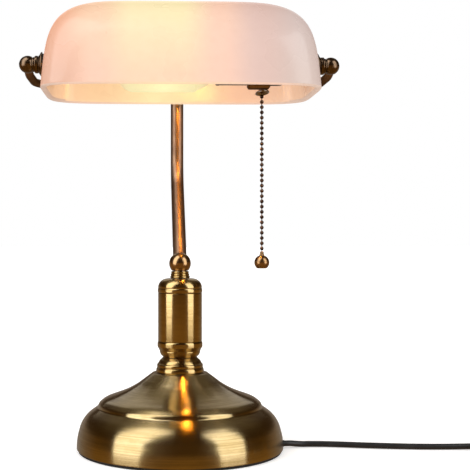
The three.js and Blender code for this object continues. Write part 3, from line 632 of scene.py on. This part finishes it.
collar = [(ROD_BORE, 64.3), (19.6, 64.3), (19.9, 65), (19.9, 66.6), (19.5, 68.1), (18.7, 68.6),
          (19.2, 69.2), (19.2, 70.6), (18.9, 71.4), (18.1, 71.8), (18, 72.4)]
bell = along([(18, 72.4), (16.9, 74.2), (15.2, 75.8), (14.1, 76.9)], 4)[1:]
piece("collar", lathe(eased([*collar, *bell, (ROD_BORE, 76.9)], 0.3), 128), brass_z, "stand",
      ["base_collar"])

cup_bowl = along([(13.7, 77.2), (14.6, 77.6), (16.2, 79.4), (17.1, 81.7)], 4)
cup_ring = [(16.9, 82.4), (17.3, 83), (18.1, 84.6), (18.8, 85.6), (18.85, 88.8), (18.4, 90)]
spigot = [(16.8, 90), (16.8, 93), (ROD_BORE, 93)]
piece("waist_cup", lathe(eased([(ROD_BORE, 77.2), *cup_bowl, *cup_ring, *spigot], 0.3), 128),
      brass_z, "stand", ["lower_cup"])

piece("column_tube", lathe(eased([(17.1, 90.3), (18.35, 90.3), (18.35, 130.2), (17.1, 130.2)], 0.25), 128),
      brass_z, "stand", ["column_sleeve"])

cap_bead = [(18.3, 130.5), (18.65, 131.2), (18.65, 133.6), (18.1, 134.3)]
dome = arc((10.7, 134.6), 7.7, 0.05, math.pi / 2, 14)
cap_foot = [(ROD_BORE, 127.5), (16.8, 127.5), (16.8, 130.5)]
piece("column_cap", lathe(eased([*cap_foot, *cap_bead, *dome, (ROD_BORE, 142.3)], 0.3), 128),
      brass_z, "stand", ["upper_cap"])

neck = [(ROD_BORE, 142.6)]
for step in range(3):
    radius, z = 8.3 - 0.4 * step, 142.6 + 2 * step
    neck += [(radius - 0.5, z), (radius, z + 0.6), (radius, z + 1.3), (radius - 0.6, z + 1.9)]
neck.append((ROD_BORE, 148.5))
piece("neck_beads", lathe(eased(neck, 0.35), 96), brass_z, "stand", ["neck_rings"])

BALL_Z, BALL_R = 154.8, 9.1
ball_foot = -math.asin((BALL_Z - 148.8) / BALL_R)
ball = [(0, 148.8), *arc((0, BALL_Z), BALL_R, ball_foot, math.pi / 2, 32)]
ball[-1] = (0, BALL_Z + BALL_R)
brass_ball = metal("antique brass, ball", "z", (0.50, 0.32, 0.16), (0.36, 0.21, 0.09), 0.22, 0.3)
piece("ball_joint", lathe(eased(ball, 0.3, False), 96), brass_ball, "stand",
      ["ball_coupling"])

# Stem and yoke -------------------------------------------------------------------------------


def bezier(points, steps):
    """Points on a Bezier curve of any order, in the plane or in space."""
    out = []
    for i in range(steps + 1):
        t = i / steps
        row = [Vector(p) for p in points]
        while len(row) > 1:
            row = [a.lerp(b, t) for a, b in zip(row, row[1:])]
        out.append(tuple(row[0]))
    return out


def stem_path():
    """Up from the ball, back at 45 degrees, and up again behind the shade."""
    low = bezier([(0, 150), (0, 155.8), (4.1, 159.9)], 16)
    high = bezier([(63.8, 219.6), (STEM_Y, 232.8), (STEM_Y, 251.4)], 28)
    return [(0, y, z) for y, z in [*low, *high, (STEM_Y, 304)]]


def yoke_path(side):
    """Along the back from the hub, round a bend, forward, and up to the ball elbow."""
    bend = bezier([(96.4, STEM_Y), (112.97, STEM_Y), (ELBOW_X, 63.57), (ELBOW_X, 47)], 40)
    level = [(side * x, y, YOKE_Z) for x, y in [(6.2, STEM_Y), (50, STEM_Y), *bend]]
    drop = 0.66
    from_axis = 5.2
    corner = (PIVOT_Z - YOKE_Z) / math.tan(drop)
    end = (from_axis * math.cos(drop), PIVOT_Z - from_axis * math.sin(drop))
    rise = bezier([(20, YOKE_Z), (corner, YOKE_Z), end], 16)
    return level + [(side * ELBOW_X, y, z) for y, z in rise]


def tube_look():
    """Drawn bronze tube: brush marks and stains that don't follow one axis."""
    look = Look("dark bronze, tube", Metallic=1.0, Specular_Tint=(0.30, 0.25, 0.20))
    stretched = look.add("ShaderNodeMapping", {0: look.place, 3: (900.0, 160.0, 160.0)}).outputs[0]
    marks = look.noise(1.0, 3.0, stretched)
    patina = look.noise(46.0, 4.0, rough=0.6)
    speckle = look.span(look.noise(1100.0, 2.0), 0.6, 0.72, 0.0, 0.25)
    tone = look.maths("ADD", look.maths("MULTIPLY", marks, 0.45), look.maths("MULTIPLY", patina, 0.55))
    worn = look.span(tone, 0.38, 0.62, smooth=True)
    colour = look.mix(worn, (0.30, 0.19, 0.13), (0.44, 0.28, 0.18))
    colour = look.mix(speckle, colour, (0.11, 0.07, 0.045))
    return look.shade(Base_Color=colour, Roughness=look.span(tone, 0.3, 0.7, 0.46, 0.38),
                      Normal=look.bump(marks, 0.015, 0.00003))


bronze_tube = tube_look()
piece("stem", sweep(stem_path(), circle(STEM_R, 48)), bronze_tube, "stand", ["stem_tube"])

hub = [(6, 298.5), (6.7, 298.5), (7.5, 299.5), (7.5, 301), (7, 302), (7, 305.4), (7.5, 306.4),
       (7.5, 320.6), (6.4, 322.4), (6, 322.4)]
piece("yoke_hub", lathe(eased(hub, 0.35), 72), bronze_z, "stand", ["stem_hub"],
      (0, STEM_Y, 0))
finial = [(0, 318.5), (5.4, 318.5), (5.4, 322.7), (6.8, 322.7), (7, 324), (5, 326), (3.2, 327)]
finial += arc((0, 330), 3.7, -0.9, math.pi / 2, 16)
finial[-1] = (0, 333.7)
piece("hub_finial", lathe(eased(finial, 0.3, False), 72), brass_z, "stand", ["hub_cap"],
      (0, STEM_Y, 0))

# What sits on a nipple is bored to clear it.
NIPPLE_BORE, NIPPLE_R, CLEAR = 2.9, 4.5, 4.8
elbow_open = math.acos((122.7 - ELBOW_X) / ELBOW_R)
elbow_skin = [(r, x) for x, r in arc((ELBOW_X, 0), ELBOW_R, elbow_open, 0, 32)]
elbow = [(0, 128.3), (CLEAR, 128.3), (CLEAR, 122.7), *elbow_skin]
elbow[-1] = (0, ELBOW_X + ELBOW_R)
nut = [(CLEAR, 117.6), (6.8, 117.6), (7.3, 118.1), (7.3, 120.2), (6.7, 120.7), (5.9, 120.9), (6.2, 121.2),
       (6.2, 121.9), (5.8, 122.3), (CLEAR, 122.3)]
flange = [(CLEAR, 114.2), (10.1, 114.2), (10.5, 114.6), (10.3, 115.3), (9, 116), (8, 116.6), (7.4, 117.3),
          (CLEAR, 117.3)]
for label, side in (("left", -1), ("right", 1)):
    axis = "x" if side > 0 else "-x"
    at = (0, 0, PIVOT_Z)
    piece(f"arm_{label}", sweep(yoke_path(side), circle(YOKE_R, 40)), bronze_tube, "stand",
          [f"yoke_arm_{label}"])
    piece(f"elbow_ball_{label}", lathe(eased(elbow, 0.25, False), 72, axis), bronze_x, "stand",
          [f"ball_elbow_{label}"], at)
    piece(f"thumb_nut_{label}", lathe(eased(nut, 0.3), 72, axis), bronze_x, f"clamp_nut_{label}",
          [f"clamp_nut_{label}"], at)
    piece(f"flange_{label}", lathe(eased(flange, 0.3), 72, axis), bronze_x, "stand",
          [f"flange_washer_{label}"], at)
    for place, low, high in (("outer", 112.4, 113.9), ("inner", 103.9, 104.8)):
        washer = [(CLEAR, low), (9, low), (9, high), (CLEAR, high)]
        piece(f"washer_{place}_{label}", lathe(eased(washer, 0.2), 64, axis), fibre, "stand",
              [f"{place}_fibre_washer_{label}"], at)
    inner_end = 83.5 if side > 0 else 99
    nipple = [(NIPPLE_BORE, inner_end), (NIPPLE_R, inner_end), (NIPPLE_R, 127.9), (NIPPLE_BORE, 127.9)]
    piece(f"nipple_{label}", lathe(eased(nipple, 0.3), 48, axis), steel, "stand",
          [f"pivot_nipple_{label}"], at)

# Shade ---------------------------------------------------------------------------------------

# The shade narrows a little towards its crown, and its outlines from the front, from the end and
# from above are ellipses squared off by these powers.
TAPER, END_ROUND, SIDE_ROUND, SQUARENESS = 0.065, 4.6, 2.2, 5.5


def shade_ring(share, wall, crown, sides):
    """One level ring of the shade at a share of the way to the crown."""
    narrowed = (SHADE_HALF_LENGTH - wall) * (1 - TAPER * share)
    length = narrowed * (1 - share**END_ROUND) ** (1 / END_ROUND)
    depth = (SHADE_HALF_DEPTH - wall) * (1 - share**SIDE_ROUND) ** (1 / SIDE_ROUND)
    z = SHADE_LOW + share * (crown - SHADE_LOW)
    ring = []
    for i in range(sides):
        turn = 2 * math.pi * i / sides
        c, s = math.cos(turn), math.sin(turn)
        reach = (abs(c) ** SQUARENESS + abs(s) ** SQUARENESS) ** (-1 / SQUARENESS)
        ring.append((length * reach * c, depth * reach * s, z))
    return ring


def rim_rings(sides):
    """The rounded rim, from the outer skin down and up again to the inner one."""
    outer = shade_ring(0, 0, SHADE_HIGH, sides)
    inner = shade_ring(0, GLASS, SHADE_HIGH, sides)
    rings = []
    for step in range(1, 8):
        turn = math.pi * step / 8
        share = (1 - math.cos(turn)) / 2
        lift = GLASS / 2 * (1 - math.sin(turn))
        rings.append([(a[0] + (b[0] - a[0]) * share, a[1] + (b[1] - a[1]) * share, a[2] + lift)
                      for a, b in zip(outer, inner)])
    return rings


def shade_mesh():
    """The outer skin from the crown down, the rim, and the inner skin up to its own crown."""
    sides, rows = 192, 64
    shares = [math.sin(row / rows * math.pi / 2) ** 0.9 for row in range(1, rows)]
    rings = [shade_ring(share, 0, SHADE_HIGH, sides) for share in reversed(shares)]
    rings += rim_rings(sides)
    rings += [shade_ring(share, GLASS, SHADE_HIGH - GLASS, sides) for share in shares]
    points = [p for ring in rings for p in ring]
    faces = []
    for row in range(len(rings) - 1):
        for i in range(sides):
            j = (i + 1) % sides
            faces.append([row * sides + i, row * sides + j, (row + 1) * sides + j, (row + 1) * sides + i])
    top, under = len(points), len(points) + 1
    points += [(0, 0, SHADE_HIGH), (0, 0, SHADE_HIGH - GLASS)]
    last = (len(rings) - 1) * sides
    for i in range(sides):
        j = (i + 1) % sides
        faces.append([top, j, i])
        faces.append([under, last + i, last + j])
    return points, faces


shade = piece("opal_shade", shade_mesh(), opal_outside, "shade", ["shade"], sharp=60)
shade.visible_glossy = False
cut_by(shade, bar_x(PIVOT_HOLE, -120, -95, PIVOT_Z))
cut_by(shade, bar_x(PIVOT_HOLE, 95, 120, PIVOT_Z))
shade.data.materials.append(opal_inside)
shade.data.materials.append(opal_edge)
INSIDE_SLOT, RIM_SLOT = 1, 2
for face in shade.data.polygons:
    x, y, z = face.center / MM
    outward = face.normal.dot(Vector((x, y, z - 300)))
    at_rim = face.normal.z < -0.3 and z < SHADE_LOW + GLASS / 2
    if at_rim:
        face.material_index = RIM_SLOT
    elif outward < 0:
        face.material_index = INSIDE_SLOT

# Socket and switch ---------------------------------------------------------------------------

at_axis = (0, 0, PIVOT_Z)
mouth = [(16.3, 58.7), (16.3, 33), (16.6, 32.4), (16.6, 30.6), (16.3, 30), (15.5, 30), (15.5, 58.7)]
piece("socket_sleeve", lathe(eased(mouth, 0.2), 96, "x"), bronze_x, "stand",
      ["socket_shell"], at_axis)
cap_dome = along([(16.6, 82), (16.2, 84.8), (14.8, 86.6), (12.4, 87.6), (9, 88)], 4)
cap_skin = [(15.8, 59), (16.6, 59), *cap_dome, (CLEAR, 88), (CLEAR, 87), (9, 87)]
cap_under = along([(9, 87), (12, 86.6), (14.1, 85.8), (15.4, 84.2), (15.8, 81.5)], 3)[1:]
socket_end = piece("socket_end", lathe(eased([*cap_skin, *cap_under], 0.2), 96, "x"), bronze_x, "stand",
                   ["socket_cap"], at_axis)
drill = lathe([(0, -20), (2.2, -20), (2.2, -10), (0, -10)], 32)
cut_by(socket_end, drill, (CHAIN_X, 0, 0))


def housing_mesh():
    """The rounded block under the socket that guides the chain."""
    half_x, half_y, corner = 9.8, 6, 2.4
    outline = []
    for cx, cy, start in ((1, 1, 0), (-1, 1, 0.5), (-1, -1, 1), (1, -1, 1.5)):
        middle = (cx * (half_x - corner), cy * (half_y - corner))
        outline += arc(middle, corner, start * math.pi, (start + 0.5) * math.pi, 8)
    levels = [(0.83, 0), (0.86, 0.1), (0.89, 0.35), (0.98, 2.0), (0.995, 2.15), (0.98, 2.4)]
    points, faces = [], []
    for share, z in levels:
        points += [(share * x, share * y, z) for x, y in outline]
    count = len(outline)
    for row in range(len(levels) - 1):
        for k in range(count):
            n = (k + 1) % count
            faces.append([row * count + k, row * count + n, (row + 1) * count + n, (row + 1) * count + k])
    faces.append(list(range(count)))
    faces.append(list(range((len(levels) - 1) * count, len(levels) * count)))
    return points, faces


housing = piece("chain_guide", housing_mesh(), bronze_tube, "stand",
                ["switch_housing"], (CHAIN_X - 2.7, 0, 300.7))
cut_by(housing, lathe([(0, -3), (2.3, -3), (2.3, 6), (0, 6)], 32), (2.7, 0, 0))

flared = along([(3, -0.4), (4.6, -0.9), (5.7, -1.7), (6, -2.5)], 4)
flared_inside = along([(5.6, -3), (4.9, -2.7), (3.4, -1.4), (2.3, -0.9)], 4)
bell_metal = metal("antique brass, bell", "z", (0.56, 0.48, 0.45), (0.34, 0.28, 0.25), 0.3, 0.2)
flared_mouth = [(3, 0), *flared, *flared_inside, (2.3, 0)]
bell_guide = piece("chain_bell_mouth", lathe(eased(flared_mouth, 0.15), 64), bell_metal, "stand",
                   ["chain_bell"], (CHAIN_X, 0, 299.6))
bell_guide.rotation_euler = (-0.2, -0.14, 0)

# Chain ---------------------------------------------------------------------------------------

BEAD_R, LINK_R, PITCH = 1.6, 0.45, 4.38
open_angle = math.acos(LINK_R / BEAD_R)


def beads_outline(count, top):
    """Round beads on a wire, from the top bead down."""
    outline = [(0, top + 2.23), (LINK_R, top + 2.23)]
    for i in range(count):
        outline += arc((0, top - PITCH * i), BEAD_R, open_angle, -open_angle, 14)
    outline.append((LINK_R, outline[-1][1] - 0.35))
    outline.append((0, outline[-1][1]))
    return outline


def chain_look():
    """Small bronze beads, browner where fingers have not polished them."""
    look = Look("dark bronze, beads", Metallic=1.0)
    patina = look.noise(210.0, 3.0)
    worn = look.span(patina, 0.4, 0.62, smooth=True)
    colour = look.mix(worn, (0.06, 0.036, 0.028), (0.15, 0.085, 0.055))
    return look.shade(Base_Color=colour, Roughness=look.span(patina, 0.3, 0.7, 0.42, 0.3),
                      Normal=look.bump(look.noise(1500.0, 2.0), 0.15, 0.00006))


bronze_beads = chain_look()
bead_top = 298.6
for number, (beads, body) in enumerate(((2, "pull"), (14, "chain_upper"), (15, "chain_lower")), 1):
    piece(f"beads_{number}", lathe(beads_outline(beads, bead_top), 28), bronze_beads, body,
          [f"chain_{number}"], (CHAIN_X, 0, 0))
    bead_top -= PITCH * beads

KNOB_Z = 155.5
knob = [(0, 165), (0.9, 165), (1.5, 164.4), (1.7, 163), (2.2, 161.1)]
knob += arc((0, KNOB_Z), 6.3, 1.1, -0.9, 30)
knob.append((0, knob[-1][1]))
brass_knob = metal("antique brass, knob", "z", (0.55, 0.33, 0.14), (0.22, 0.12, 0.06), 0.3, 0.3)
piece("pull_knob", lathe(eased(knob, 0.4, False), 64), brass_knob, "chain_lower",
      ["chain_knob"], (CHAIN_X, 0, 0))

# Bulb ----------------------------------------------------------------------------------------

tip_centre, tip_round = (8.4, -38), 14
tip = arc(tip_centre, tip_round, -math.pi / 2, 0, 16)
glass_neck = along([(22.4, -30), (22.4, 8), (20.8, 14), (17.6, 21), (14, 26.4), (12.6, 29.2)], 5)[5:]
inner_neck = [(r - 1, x) for r, x in reversed(glass_neck)]
inner_tip = arc(tip_centre, tip_round - 1, 0, -math.pi / 2, 16)
bulb_outline = [(0, -52), *tip, *glass_neck, *inner_neck, *inner_tip, (0, -51)]
envelope = piece("bulb_envelope", lathe(bulb_outline, 96, "x"), bulb_glass, "bulb",
                 ["bulb_glass"], at_axis)
envelope.visible_shadow = False
envelope.visible_glossy = False

thread = [(0, 29.6), (12.6, 29.6), (12.6, 30.6)]
for step in range(36):
    x = 30.6 + 12 * step / 36
    thread.append((12.65 + 0.35 * math.sin(step * math.pi / 6 - math.pi / 2), x))
thread += [(12.3, 42.6), (11, 43.4), (8, 44.6), (0, 44.6)]
piece("bulb_screw_cap", lathe(thread, 72, "x"), nickel, "bulb", ["bulb_cap"], at_axis)

# The inner nodes keep their CAD shape.
NODE_LOOKS = {
    steel: ["lock_nut", "threaded_rod", "switch_spindle", "return_spring", "pull_rod"],
    nickel: ["bulb_contact"],
    iron: ["base_weight"],
    fibre: ["socket_liner", "switch_cam"],
    porcelain: ["socket_insulator"],
    brass_x: ["screw_shell", "centre_contact", "inner_nut_left", "inner_nut_right"],
    filament: ["filament"],
    cord_black: ["inner_lead"],
}
for material, names in NODE_LOOKS.items():
    for name in names:
        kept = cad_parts[name].material_slots[0]
        kept.link = "OBJECT"
        kept.material = material

# ---------------------------------------------------------------------------------------------
# Floor, light and background.


def make_floor():
    look = Look("pale floor", Roughness=0.9, Specular_IOR_Level=0.1)
    grain = look.noise(9.0, 2.0)
    away = look.add("ShaderNodeVectorMath", {0: look.place}, operation="LENGTH").outputs["Value"]
    look.shade(Base_Color=look.mix(grain, (0.80, 0.80, 0.80), (0.83, 0.83, 0.83)),
               Emission_Color=(1.0, 1.0, 1.0), Emission_Strength=look.span(away, 0.1, 1.2, 0.42, 1.0))
    size = 14
    data = bpy.data.meshes.new("floor")
    corners = [(-size, -size, 0), (size, -size, 0), (size, size, 0), (-size, size, 0)]
    data.from_pydata(corners, [], [[0, 1, 2, 3]])
    data.materials.append(look.material)
    floor = bpy.data.objects.new("floor", data)
    bpy.context.scene.collection.objects.link(floor)
    floor.location = (0, 0, -0.0002)
    floor.visible_glossy = False


def softbox(name, angle, distance, size, height, radiance):
    """An area light that faces the lamp from an angle, in degrees from the front to the right."""
    data = bpy.data.lights.new(name, "AREA")
    data.shape = "RECTANGLE"
    data.size, data.size_y = size
    data.energy = radiance * math.pi * size[0] * size[1]
    light = bpy.data.objects.new(name, data)
    bpy.context.scene.collection.objects.link(light)
    turn = math.radians(angle)
    light.location = (distance * math.sin(turn), -distance * math.cos(turn), height)
    aim = Vector((0, 0, 0.17)) - light.location
    light.rotation_euler = aim.to_track_quat("-Z", "Y").to_euler()
    light.visible_camera = False


def bulb_light(name, radius, energy, colour):
    """The bulb's light as the polished metal shows it; its glow on the opal is in the opal's look."""
    data = bpy.data.lights.new(name, "POINT")
    data.shadow_soft_size = radius
    data.energy = energy
    data.color = colour
    data.cycles.use_multiple_importance_sampling = False
    light = bpy.data.objects.new(name, data)
    bpy.context.scene.collection.objects.link(light)
    light.location = (0.028, 0, PIVOT_Z * MM)
    light.visible_diffuse = False


def make_light():
    softbox("left softbox", -61, 1.1, (0.95, 2.5), 0.9, 2.6)
    softbox("right softbox", 56, 1.2, (0.8, 1.8), 0.66, 2.3)
    softbox("back softbox", 180, 1.6, (1.6, 1.0), 1.1, 0.5)
    bulb_light("bulb light", 0.012, 0.8, (1.0, 0.42, 0.05))
    bulb_light("bulb halo", 0.034, 0.2, (1.0, 0.40, 0.06))


def make_world():
    """White to the camera, an even light on matt surfaces, and a dark warm room with a pale
    wall behind in the polished metal."""
    world = bpy.data.worlds.new("surroundings")
    bpy.context.scene.world = world
    world.use_nodes = True
    tree = world.node_tree
    tree.nodes.clear()

    def add(kind, inputs, **properties):
        node = tree.nodes.new(kind)
        for key, value in properties.items():
            setattr(node, key, value)
        for key, value in inputs.items():
            if isinstance(value, bpy.types.NodeSocket):
                tree.links.new(value, node.inputs[key])
            else:
                node.inputs[key].default_value = value
        return node

    path = add("ShaderNodeLightPath", {})
    facing = add("ShaderNodeSeparateXYZ", {0: add("ShaderNodeTexCoord", {}).outputs["Generated"]}).outputs
    rise = add("ShaderNodeMapRange", {"Value": facing[2], "From Min": -0.06, "From Max": 0.16}).outputs[0]
    back = add("ShaderNodeMapRange", {"Value": facing[1], "From Min": 0.3, "From Max": 0.9}).outputs[0]
    below = add("ShaderNodeMapRange", {"Value": facing[2], "From Min": 0.22, "From Max": 0.04}).outputs[0]
    wall = add("ShaderNodeMath", {0: back, 1: below}, operation="MULTIPLY").outputs[0]
    above = add("ShaderNodeMapRange", {"Value": facing[2], "From Min": 0.42, "From Max": 0.7}).outputs[0]
    sideways = add("ShaderNodeMath", {0: facing[0]}, operation="ABSOLUTE").outputs[0]
    aside = add("ShaderNodeMapRange", {"Value": sideways, "From Min": 0.08, "From Max": 0.2}).outputs[0]
    rear = add("ShaderNodeMapRange", {"Value": facing[1], "From Min": -0.1, "From Max": 0.35}).outputs[0]
    ceiling = add("ShaderNodeMath", {0: above, 1: aside}, operation="MULTIPLY").outputs[0]
    ceiling = add("ShaderNodeMath", {0: ceiling, 1: rear}, operation="MULTIPLY").outputs[0]

    def mix(share, a, b):
        return add("ShaderNodeMix", {0: share, 6: a, 7: b}, data_type="RGBA").outputs[2]

    room = mix(rise, (0.27, 0.14, 0.03, 1), (0.04, 0.020, 0.005, 1))
    room = mix(wall, room, (0.26, 0.22, 0.19, 1))
    room = mix(ceiling, room, (0.10, 0.075, 0.04, 1))
    matt = mix(path.outputs["Is Glossy Ray"], (0.50, 0.48, 0.46, 1), room)
    seen = mix(path.outputs["Is Camera Ray"], matt, (1, 1, 1, 1))
    background = add("ShaderNodeBackground", {"Color": seen})
    add("ShaderNodeOutputWorld", {0: background.outputs[0]})
    bpy.context.scene.view_settings.view_transform = "Standard"


make_floor()
make_light()
make_world()
